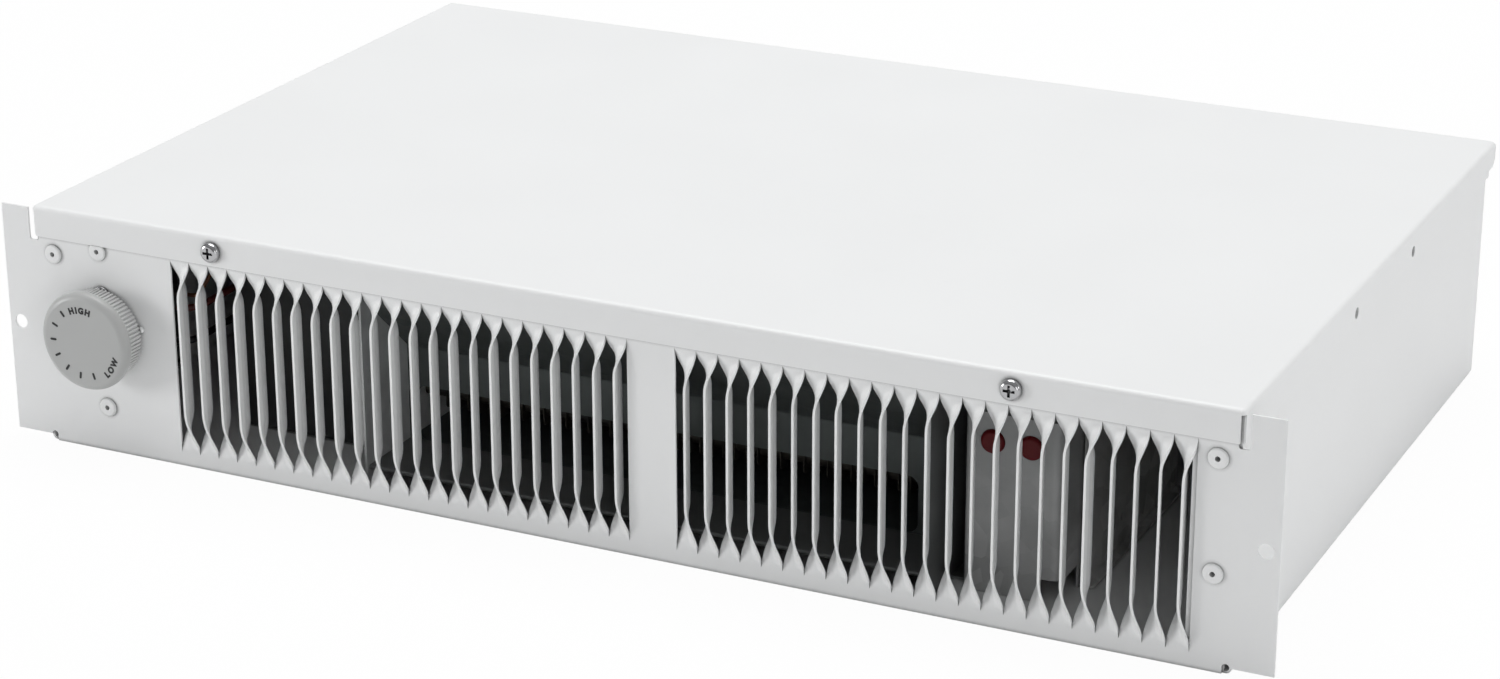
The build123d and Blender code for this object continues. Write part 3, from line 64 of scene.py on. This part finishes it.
class Paint:
    """A node material with helpers for texture in millimetres."""

    def __init__(self, name, color, metallic=0.0, roughness=0.5, specular=0.5):
        self.material = bpy.data.materials.new(name)
        self.material.use_nodes = True
        self.tree = self.material.node_tree
        self.shader = self.tree.nodes["Principled BSDF"]
        self.shader.inputs["Metallic"].default_value = metallic
        self.shader.inputs["Specular IOR Level"].default_value = specular
        self.coords = self.add("ShaderNodeMapping")
        source = self.add("ShaderNodeTexCoord")
        self.link(source.outputs["Object"], self.coords.inputs["Vector"])
        self.coords.inputs["Scale"].default_value = (1 / MM, 1 / MM, 1 / MM)
        self.color = self.value_rgb(color)
        self.rough = self.value(roughness)
        self.height = None

    def add(self, kind):
        return self.tree.nodes.new(kind)

    def link(self, start, end):
        self.tree.links.new(start, end)

    def value(self, number):
        node = self.add("ShaderNodeValue")
        node.outputs[0].default_value = number
        return node.outputs[0]

    def value_rgb(self, color):
        node = self.add("ShaderNodeRGB")
        node.outputs[0].default_value = (*color, 1)
        return node.outputs[0]

    def math(self, operation, a, b=0.0, clamp=False):
        node = self.add("ShaderNodeMath")
        node.operation = operation
        node.use_clamp = clamp
        for socket, item in zip(node.inputs, (a, b)):
            if isinstance(item, (int, float)):
                socket.default_value = item
            else:
                self.link(item, socket)
        return node.outputs[0]

    def noise(self, size_mm, detail=3.0, stretch=(1, 1, 1), distortion=0.0):
        """Smooth noise whose features are about size_mm across."""
        mapping = self.add("ShaderNodeMapping")
        mapping.inputs["Scale"].default_value = stretch
        self.link(self.coords.outputs[0], mapping.inputs["Vector"])
        node = self.add("ShaderNodeTexNoise")
        node.inputs["Scale"].default_value = 1 / size_mm
        node.inputs["Detail"].default_value = detail
        node.inputs["Distortion"].default_value = distortion
        self.link(mapping.outputs[0], node.inputs["Vector"])
        return node.outputs["Fac"]

    def cells(self, size_mm, output="Color"):
        """Flat-toned cells about size_mm across, like zinc spangle."""
        node = self.add("ShaderNodeTexVoronoi")
        node.inputs["Scale"].default_value = 1 / size_mm
        self.link(self.coords.outputs[0], node.inputs["Vector"])
        if output == "Color":
            split = self.add("ShaderNodeSeparateColor")
            self.link(node.outputs["Color"], split.inputs[0])
            return split.outputs[0]
        return node.outputs[output]

    def bands(self, size_mm, direction="X", distortion=0.0):
        node = self.add("ShaderNodeTexWave")
        node.bands_direction = direction
        node.inputs["Scale"].default_value = math.pi / 10 / size_mm
        node.inputs["Distortion"].default_value = distortion
        self.link(self.coords.outputs[0], node.inputs["Vector"])
        return node.outputs["Fac"]

    def along(self, axis, low_mm, high_mm):
        """0 at low_mm and 1 at high_mm along an axis."""
        split = self.add("ShaderNodeSeparateXYZ")
        self.link(self.coords.outputs[0], split.inputs[0])
        node = self.add("ShaderNodeMapRange")
        node.inputs["From Min"].default_value = low_mm
        node.inputs["From Max"].default_value = high_mm
        self.link(split.outputs[axis], node.inputs["Value"])
        return node.outputs[0]

    def steps(self, value, low, high):
        """Sharpen a value to 0 below low and 1 above high."""
        node = self.add("ShaderNodeMapRange")
        node.inputs["From Min"].default_value = low
        node.inputs["From Max"].default_value = high
        self.link(value, node.inputs["Value"])
        return node.outputs[0]

    def edges(self, radius_mm=0.5):
        """1 on edges, 0 on flat faces; used to paint highlights on edges."""
        bevel = self.add("ShaderNodeBevel")
        bevel.samples = 4
        bevel.inputs["Radius"].default_value = radius_mm * MM
        flat = self.add("ShaderNodeNewGeometry")
        dot = self.add("ShaderNodeVectorMath")
        dot.operation = "DOT_PRODUCT"
        self.link(bevel.outputs[0], dot.inputs[0])
        self.link(flat.outputs["Normal"], dot.inputs[1])
        return self.steps(self.math("SUBTRACT", 1.0, dot.outputs["Value"]), 0.02, 0.22)

    def crevices(self, distance_mm, low=0.2, high=0.8):
        """1 deep in a crevice, 0 on open faces; used to paint shade into crevices."""
        shade = self.add("ShaderNodeAmbientOcclusion")
        shade.samples = 4
        shade.inputs["Distance"].default_value = distance_mm * MM
        return self.steps(self.math("SUBTRACT", 1.0, shade.outputs["AO"]), low, high)

    def tint(self, mask, color, amount=1.0):
        mix = self.add("ShaderNodeMix")
        mix.data_type = "RGBA"
        self.link(self.math("MULTIPLY", mask, amount), mix.inputs["Factor"])
        self.link(self.color, mix.inputs["A"])
        mix.inputs["B"].default_value = (*color, 1)
        self.color = mix.outputs["Result"]

    def roughen(self, mask, amount):
        """Add amount of roughness where the mask is 1, centred on its middle."""
        centred = self.math("SUBTRACT", mask, 0.5)
        self.rough = self.math("ADD", self.rough, self.math("MULTIPLY", centred, amount))

    def raise_by(self, mask, height_mm):
        piece = self.math("MULTIPLY", mask, height_mm * MM)
        self.height = piece if self.height is None else self.math("ADD", self.height, piece)

    def done(self):
        clamp = self.math("MAXIMUM", self.rough, 0.05, clamp=True)
        self.link(clamp, self.shader.inputs["Roughness"])
        self.link(self.color, self.shader.inputs["Base Color"])
        if self.height is not None:
            bump = self.add("ShaderNodeBump")
            bump.inputs["Distance"].default_value = 1.0
            self.link(self.height, bump.inputs["Height"])
            self.link(bump.outputs[0], self.shader.inputs["Normal"])
        return self.material


def powder_coat(name, color, roughness=0.44, louvre_painted_light=False):
    """White powder coat: orange peel, faint mottling, thin painted highlights on the edges, painted
    shade in crevices and, when asked, painted light on the louvre fins.
    """
    paint = Paint(name, color, 0.0, roughness, 0.5)
    # Louvre fins that twist out in front of the plate and back behind it are painted whiter: painted
    # light on the fins.
    if louvre_painted_light:
        paint.tint(paint.along(1, *BEHIND_PLATE), LOUVRE_PAINTED_LIGHT)
        paint.tint(paint.along(1, *BEFORE_PLATE), LOUVRE_PAINTED_LIGHT)
    paint.tint(paint.noise(140, 2), tuple(0.93 * c for c in color), 0.5)
    paint.tint(paint.steps(paint.noise(9, 6), 0.62, 0.8), tuple(0.9 * c for c in color), 0.12)
    # Painted highlight: edges a little lighter.
    paint.tint(paint.edges(0.7), tuple(min(1, 1.08 * c) for c in color), 0.6)
    # Painted shade: crevices and gaps darkened towards near-black.
    paint.tint(paint.crevices(1.6, 0.14, 0.45), tuple(0.18 * c for c in color), 0.85)
    paint.roughen(paint.noise(55, 4), 0.12)
    paint.raise_by(paint.noise(2.4, 2), 0.006)
    paint.raise_by(paint.noise(0.5, 1), 0.0012)
    return paint.done()


# Whiter white painted on the louvre fins as painted light.
LOUVRE_PAINTED_LIGHT = (0.96, 0.965, 0.96)
BEHIND_PLATE = (1.0, 1.5)
BEFORE_PLATE = (-0.15, -0.65)


def galvanised(name, color, roughness=0.42, metallic=0.75, floor_bounce_light=None):
    """Zinc-coated sheet with soft spangle and rolling marks, painted highlights on the edges and,
    when asked, painted light that grows lighter towards the bottom.
    """
    paint = Paint(name, color, metallic, roughness)
    if floor_bounce_light:
        # Painted light: a lighter tone towards the bottom stands in for light bounced off the floor.
        paint.tint(paint.along(2, FLOOR_BOUNCE_SPAN[0], FLOOR_BOUNCE_SPAN[1]), floor_bounce_light)
    spangle = paint.cells(9)
    paint.tint(spangle, tuple(1.22 * c for c in color), 0.5)
    paint.tint(paint.steps(paint.noise(30, 5), 0.5, 0.75), tuple(0.7 * c for c in color), 0.4)
    # Painted highlight: edges much lighter.
    paint.tint(paint.edges(0.6), tuple(1.9 * c for c in color), 0.5)
    paint.roughen(spangle, 0.18)
    paint.roughen(paint.noise(0.8, 3, (0.05, 1, 1)), 0.12)
    paint.raise_by(paint.noise(0.6, 2, (0.1, 1, 1)), 0.002)
    return paint.done()


# Heights in mm where the painted floor-bounce light starts and where it is full.
FLOOR_BOUNCE_SPAN = (15, -45)


def bright_metal(name, color, roughness=0.2, crevice_shade=0.0):
    """Bright plated steel with light tooling marks, lighter edges as painted highlight with some
    wear, and painted shade in crevices when asked.
    """
    paint = Paint(name, color, 1.0, roughness)
    paint.tint(paint.steps(paint.noise(3, 4), 0.45, 0.7), tuple(0.72 * c for c in color), 0.35)
    # Painted highlight with some wear: edges lighter.
    paint.tint(paint.edges(0.25), (0.9, 0.9, 0.9), 0.5)
    # Painted shade: crevices darkened towards black.
    if crevice_shade:
        paint.tint(paint.crevices(2.0), (0.02, 0.02, 0.022), crevice_shade)
    paint.roughen(paint.noise(0.7, 4), 0.22)
    paint.raise_by(paint.noise(0.25, 3), 0.003)
    return paint.done()


def moulded(name, color, roughness=0.45, grain_mm=0.35, grain=0.006, specular=0.5):
    """Moulded plastic with a fine texture and lighter edges, painted highlight with some wear."""
    paint = Paint(name, color, 0.0, roughness, specular)
    paint.tint(paint.noise(18, 3), tuple(0.88 * c for c in color), 0.5)
    # Painted highlight with some wear: edges lighter.
    paint.tint(paint.edges(0.5), tuple(min(1, 1.25 * c + 0.02) for c in color), 0.5)
    paint.roughen(paint.noise(6, 4), 0.14)
    paint.raise_by(paint.noise(grain_mm, 2), grain)
    return paint.done()


def dial_plastic():
    """Grey moulded dial: paler ribbed skirt, painted highlights on the edges, painted shade between
    the ribs.
    """
    paint = Paint("dial_plastic", (0.44, 0.445, 0.44), 0.0, 0.34)
    skirt = paint.along(1, -11.4, -10.6)
    paint.tint(skirt, (0.72, 0.725, 0.72), 0.95)
    paint.tint(paint.noise(40, 1), (0.4, 0.405, 0.4), 0.3)
    # Painted highlight: edges lighter, strongest on the bezel.
    paint.tint(paint.edges(0.4), (0.66, 0.665, 0.66), 0.4)
    # Painted shade: dark between the ribs and in other crevices.
    paint.tint(paint.crevices(1.4), (0.05, 0.05, 0.05), 0.85)
    paint.roughen(paint.noise(30, 1), 0.05)
    paint.raise_by(paint.noise(0.3, 2), 0.003)
    return paint.done()


def heated_steel(name):
    """Element steel, dull and browned by heat, with painted highlights on the edges."""
    paint = Paint(name, (0.07, 0.066, 0.058), 0.6, 0.55)
    paint.tint(paint.noise(26, 3), (0.06, 0.05, 0.036), 0.75)
    paint.tint(paint.steps(paint.noise(14, 4), 0.5, 0.7), (0.03, 0.034, 0.042), 0.55)
    # Painted highlight: edges lighter.
    paint.tint(paint.edges(0.3), (0.14, 0.13, 0.115), 0.4)
    paint.roughen(paint.noise(4, 4), 0.2)
    paint.raise_by(paint.noise(0.5, 3), 0.004)
    return paint.done()


def laminations(name):
    """Stack of thin steel sheets, seen edge-on."""
    paint = Paint(name, (0.2, 0.2, 0.21), 0.8, 0.5)
    layer = paint.bands(0.5, "X")
    paint.tint(layer, (0.09, 0.085, 0.08), 0.6)
    paint.tint(paint.steps(paint.noise(7, 5), 0.55, 0.75), (0.3, 0.2, 0.13), 0.35)
    paint.roughen(paint.noise(3, 4), 0.2)
    paint.raise_by(layer, 0.05)
    return paint.done()


def winding(name):
    """Taped copper winding."""
    paint = Paint(name, (0.55, 0.42, 0.12), 0.0, 0.4)
    turns = paint.bands(3.0, "Y", 0.4)
    paint.tint(turns, (0.4, 0.28, 0.06), 0.6)
    paint.tint(paint.noise(8, 4), (0.3, 0.2, 0.06), 0.4)
    paint.roughen(paint.noise(2, 3), 0.25)
    paint.raise_by(turns, 0.12)
    return paint.done()


def white_floor():
    """Pale studio floor that stays white to the camera, with a faint contact shadow."""
    paint = Paint("studio_floor", (0.86, 0.86, 0.86), 0.0, 0.9, 0.0)
    paint.tint(paint.noise(400, 2), (0.84, 0.84, 0.84), 0.5)
    material = paint.done()
    tree = material.node_tree
    glow = tree.nodes.new("ShaderNodeEmission")
    glow.inputs["Strength"].default_value = 1.0
    path = tree.nodes.new("ShaderNodeLightPath")
    add = tree.nodes.new("ShaderNodeMixShader")
    scale = tree.nodes.new("ShaderNodeMath")
    scale.operation = "MULTIPLY"
    scale.inputs[1].default_value = FLOOR_GLOW
    out = tree.nodes["Material Output"]
    tree.links.new(path.outputs["Is Camera Ray"], scale.inputs[0])
    tree.links.new(scale.outputs[0], add.inputs[0])
    tree.links.new(tree.nodes["Principled BSDF"].outputs[0], add.inputs[1])
    tree.links.new(glow.outputs[0], add.inputs[2])
    tree.links.new(add.outputs[0], out.inputs[0])
    return material


FLOOR_GLOW = 0.96

WHITE = (0.835, 0.84, 0.84)
FINISHES = {
    "white_paint": powder_coat("white_paint", WHITE),
    "white_rivet": powder_coat("white_rivet", WHITE, 0.36),
    "galvanised": galvanised("galvanised", (0.3, 0.31, 0.31)),
    # The screws get painted shade in their crevices.
    "zinc_screw": bright_metal("zinc_screw", (0.5, 0.5, 0.51), 0.14, 0.9),
    "knob_plastic": moulded("knob_plastic", (0.41, 0.415, 0.41), 0.3, 0.3, 0.003),
    "black_plastic": moulded("black_plastic", (0.02, 0.02, 0.021), 0.45),
    "red_plastic": moulded("red_plastic", (0.12, 0.003, 0.005), 0.3, 0.6, 0.002, 0.25),
    "steel": bright_metal("steel", (0.55, 0.55, 0.55), 0.3),
    "aluminium_wheel": bright_metal("aluminium_wheel", (0.5, 0.51, 0.52), 0.4),
    "element_steel": heated_steel("element_steel"),
    "rubber": moulded("rubber", (0.018, 0.018, 0.018), 0.7, 0.4, 0.008, 0.3),
    "bronze": bright_metal("bronze", (0.5, 0.33, 0.16), 0.45),
    "lamination": laminations("lamination"),
    "coil_tape": winding("coil_tape"),
    "wire_insulation": moulded("wire_insulation", (0.012, 0.012, 0.013), 0.4, 1.5, 0.004),
    "red_insulation": moulded("red_insulation", (0.16, 0.035, 0.03), 0.4, 1.5, 0.004),
    "ceramic": moulded("ceramic", (0.72, 0.69, 0.62), 0.6, 0.3, 0.006),
    "copper": bright_metal("copper", (0.62, 0.32, 0.2), 0.32),
    "green_screw": bright_metal("green_screw", (0.06, 0.32, 0.12), 0.35),
    "nut_plastic": moulded("nut_plastic", (0.55, 0.2, 0.03), 0.35),
    "limit_plastic": moulded("limit_plastic", (0.12, 0.06, 0.035), 0.5),
}


# ---------------------------------------------------------------- CAD nodes


def smooth_group():
    """Geometry nodes that shade smooth and keep edges sharper than the angle."""
    group = bpy.data.node_groups.new("smooth_faces", "GeometryNodeTree")
    group.interface.new_socket("Geometry", in_out="INPUT", socket_type="NodeSocketGeometry")
    group.interface.new_socket("Geometry", in_out="OUTPUT", socket_type="NodeSocketGeometry")
    start = group.nodes.new("NodeGroupInput")
    end = group.nodes.new("NodeGroupOutput")
    angle = group.nodes.new("GeometryNodeInputMeshEdgeAngle")
    compare = group.nodes.new("FunctionNodeCompare")
    compare.data_type = "FLOAT"
    compare.operation = "LESS_EQUAL"
    compare.inputs["B"].default_value = math.radians(32)
    on_edges = group.nodes.new("GeometryNodeSetShadeSmooth")
    on_edges.domain = "EDGE"
    on_faces = group.nodes.new("GeometryNodeSetShadeSmooth")
    on_faces.domain = "FACE"
    group.links.new(angle.outputs["Unsigned Angle"], compare.inputs["A"])
    group.links.new(start.outputs[0], on_edges.inputs["Geometry"])
    group.links.new(compare.outputs["Result"], on_edges.inputs["Shade Smooth"])
    group.links.new(on_edges.outputs[0], on_faces.inputs["Geometry"])
    group.links.new(on_faces.outputs[0], end.inputs[0])
    return group


SMOOTH = smooth_group()
EDGE_WIDTH = {
    "thermostat_knob": 0.15,
    "cover_screws": 0.12,
}


def soften(obj, width_mm):
    """Round a CAD node's sharp edges a little, with modifiers only."""
    weld = obj.modifiers.new("weld", "WELD")
    weld.merge_threshold = 0.002 * MM
    if width_mm:
        bevel = obj.modifiers.new("bevel", "BEVEL")
        bevel.width = width_mm * MM
        bevel.segments = 2
        bevel.limit_method = "ANGLE"
        bevel.angle_limit = math.radians(40)
        bevel.use_clamp_overlap = True
    smooth = obj.modifiers.new("smooth", "NODES")
    smooth.node_group = SMOOTH
    normals = obj.modifiers.new("normals", "WEIGHTED_NORMAL")
    normals.keep_sharp = True


# Painted shade: galvanised painted much darker for the outlet face plate, blower scroll and cutoff,
# deep inside the duct.
shaded_duct_zinc = galvanised("shaded_duct_zinc", (0.105, 0.116, 0.114), 0.5, 0.6)
NODE_FINISH = {
    # The front panel's paint carries painted light on its louvre fins.
    "front_panel": powder_coat("panel_paint_with_painted_light", WHITE, louvre_painted_light=True),
    "outlet_face_plate": shaded_duct_zinc,
    # Painted shade: the duct floor's galvanised painted darker.
    "duct_floor": galvanised("shaded_floor_zinc", (0.2, 0.205, 0.205), 0.45, 0.5),
    "blower_scroll": shaded_duct_zinc,
    "blower_cutoff": shaded_duct_zinc,
    "duct_left_wall": galvanised("wall_zinc", (0.58, 0.59, 0.59), 0.5, 0.2),
    # The box and the shield carry painted floor-bounce light towards the bottom.
    "limit_box": galvanised("box_zinc", (0.32, 0.325, 0.325), 0.5, 0.3, (0.7, 0.7, 0.7)),
    "motor_shield": galvanised("shield_zinc", (0.3, 0.3, 0.295), 0.55, 0.3, (0.8, 0.8, 0.79)),
    # Painted shade: the terminal guard's galvanised painted near-black.
    "terminal_guard": galvanised("shaded_guard_zinc", (0.05, 0.052, 0.053), 0.5, 0.3),
    "thermostat_knob": dial_plastic(),
}
slot_of = {entry["node"]: entry["material_slot"] for entry in frame["record"]["subparts"]}
for name, obj in nodes.items():
    finish = NODE_FINISH.get(name, FINISHES[slot_of[name]])
    obj.data.materials.clear()
    obj.data.materials.append(finish)
    soften(obj, EDGE_WIDTH.get(name, 0.0))


# ---------------------------------------------------------------- dial print

knob_low, knob_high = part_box("thermostat_knob")
KNOB_X = (knob_low.x + knob_high.x) / 2
KNOB_Z = (knob_low.z + knob_high.z) / 2
FACE_Y = knob_low.y
INK_LIFT = 0.06 * MM
INK_DEPTH = 0.05 * MM
ink = moulded("dial_ink", (0.012, 0.012, 0.013), 0.5, 0.2, 0.002)


def place_on_dial(obj, radius_mm, angle_deg, spin_deg):
    """Put a flat shape, drawn in X and Y, on the face of the knob."""
    angle = math.radians(angle_deg)
    centre = Vector((KNOB_X + radius_mm * MM * math.cos(angle), FACE_Y - INK_LIFT,
                     KNOB_Z + radius_mm * MM * math.sin(angle)))
    stand = Matrix.Rotation(math.radians(90), 4, "X")
    spin = Matrix.Rotation(math.radians(spin_deg), 4, "Z")
    obj.matrix_world = Matrix.Translation(centre) @ stand @ spin
    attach(obj, "thermostat_dial")
    obj.data.materials.append(ink)


def tick(index, angle_deg):
    """One printed tick, long side along the radius, with rounded ends."""
    mesh = bpy.data.meshes.new(f"dial_tick_{index}")
    shape = bmesh.new()
    half_l, half_w = 1.5 * MM, 0.48 * MM
    outline = []
    for end in (0, 1):
        for step in range(7):
            turn = math.radians(-90 + 30 * step + 180 * end)
            centre_x = (half_l - half_w) * (1 if end == 0 else -1)
            outline.append((centre_x + half_w * math.cos(turn), half_w * math.sin(turn)))
    rings = []
    for z in (0.0, INK_DEPTH):
        rings.append([shape.verts.new((x, y, z)) for x, y in outline])
    shape.faces.new(rings[1])
    shape.faces.new(list(reversed(rings[0])))
    count = len(outline)
    for i in range(count):
        j = (i + 1) % count
        shape.faces.new((rings[0][i], rings[0][j], rings[1][j], rings[1][i]))
    shape.to_mesh(mesh)
    shape.free()
    obj = bpy.data.objects.new(f"dial_tick_{index}", mesh)
    scene.collection.objects.link(obj)
    place_on_dial(obj, 14.3, angle_deg, angle_deg)


def letter(name, text, size_mm, radius_mm, angle_deg, spin_deg):
    """One printed letter as a thin mesh."""
    curve = bpy.data.curves.new(name, "FONT")
    curve.body = text
    curve.size = size_mm * MM
    curve.extrude = INK_DEPTH / 2
    curve.offset = LETTER_WEIGHT * MM
    curve.align_x = "CENTER"
    curve.align_y = "CENTER"
    temp = bpy.data.objects.new(name + "_curve", curve)
    scene.collection.objects.link(temp)
    bpy.context.view_layer.update()
    mesh = bpy.data.meshes.new_from_object(temp)
    bpy.data.objects.remove(temp)
    mesh.name = name
    obj = bpy.data.objects.new(name, mesh)
    scene.collection.objects.link(obj)
    place_on_dial(obj, radius_mm, angle_deg, spin_deg)


LETTER_SIZE = 3.5
LETTER_WEIGHT = 0.22
for number in range(7):
    tick(number, 129 + 26.5 * number)
for number, (text, angle) in enumerate(zip("HIGH", (109, 99, 89, 76))):
    letter(f"dial_high_{number}", text, LETTER_SIZE, 13.7, angle, angle - 90)
for number, (text, angle) in enumerate(zip("LOW", (-47, -36, -22))):
    letter(f"dial_low_{number}", text, LETTER_SIZE, 16.2, angle, angle + 90)


# ---------------------------------------------------------------- studio


def floor():
    size = 30.0
    low = cad_box[0].z
    mesh = bpy.data.meshes.new("studio_floor")
    half = size / 2
    mesh.from_pydata([(-half, -half, low), (half, -half, low), (half, half, low), (-half, half, low)],
                     [], [(0, 1, 2, 3)])
    obj = bpy.data.objects.new("studio_floor", mesh)
    scene.collection.objects.link(obj)
    mesh.materials.append(white_floor())


def area_light(name, where, target, size, power, color=(1, 1, 1)):
    data = bpy.data.lights.new(name, "AREA")
    data.shape = "RECTANGLE"
    data.size, data.size_y = size
    data.energy = power
    data.color = color
    obj = bpy.data.objects.new(name, data)
    scene.collection.objects.link(obj)
    obj.location = where
    obj.rotation_euler = (Vector(target) - Vector(where)).to_track_quat("-Z", "Y").to_euler()
    return obj


WORLD_STRENGTH = 0.36


def world_light():
    """Soft studio surround, brighter above than at the sides."""
    world = bpy.data.worlds.new("studio")
    world.use_nodes = True
    scene.world = world
    tree = world.node_tree
    back = tree.nodes["Background"]
    source = tree.nodes.new("ShaderNodeTexCoord")
    split = tree.nodes.new("ShaderNodeSeparateXYZ")
    ramp = tree.nodes.new("ShaderNodeValToRGB")
    ramp.color_ramp.elements[0].position = 0.0
    ramp.color_ramp.elements[0].color = (0.62, 0.63, 0.64, 1)
    ramp.color_ramp.elements[1].position = 0.75
    ramp.color_ramp.elements[1].color = (0.95, 0.96, 0.97, 1)
    tree.links.new(source.outputs["Generated"], split.inputs[0])
    tree.links.new(split.outputs["Z"], ramp.inputs[0])
    tree.links.new(ramp.outputs[0], back.inputs["Color"])
    back.inputs["Strength"].default_value = WORLD_STRENGTH


floor()
world_light()
area_light("top_light", (-0.2, 0.5, 2.1), (0, 0.2, 0), (1.8, 1.6), 39)
area_light("left_key", (-1.9, -1.15, 0.25), (-0.1, 0, 0), (0.6, 0.6), 13.5)
area_light("front_fill", (1.6, -1.5, 0.35), (0.05, 0, 0), (0.9, 0.9), 5.5)
area_light("right_fill", (2.3, 0.35, 0.6), (0.1, 0.1, 0), (0.8, 0.8), 9.5)

camera_data = bpy.data.cameras.new("camera")
camera_data.sensor_width = 36.0
camera_data.lens = 85.6
camera = bpy.data.objects.new("camera", camera_data)
scene.collection.objects.link(camera)
camera.location = (0.5995, -1.1031, 0.5177)
look = Vector((-0.40647, 0.84025, -0.35885))
roll = Matrix.Rotation(math.radians(-0.16), 4, "Z")
camera.matrix_world = (Matrix.Translation(camera.location)
                       @ look.to_track_quat("-Z", "Y").to_matrix().to_4x4() @ roll)
scene.camera = camera
scene.view_settings.view_transform = "Standard"
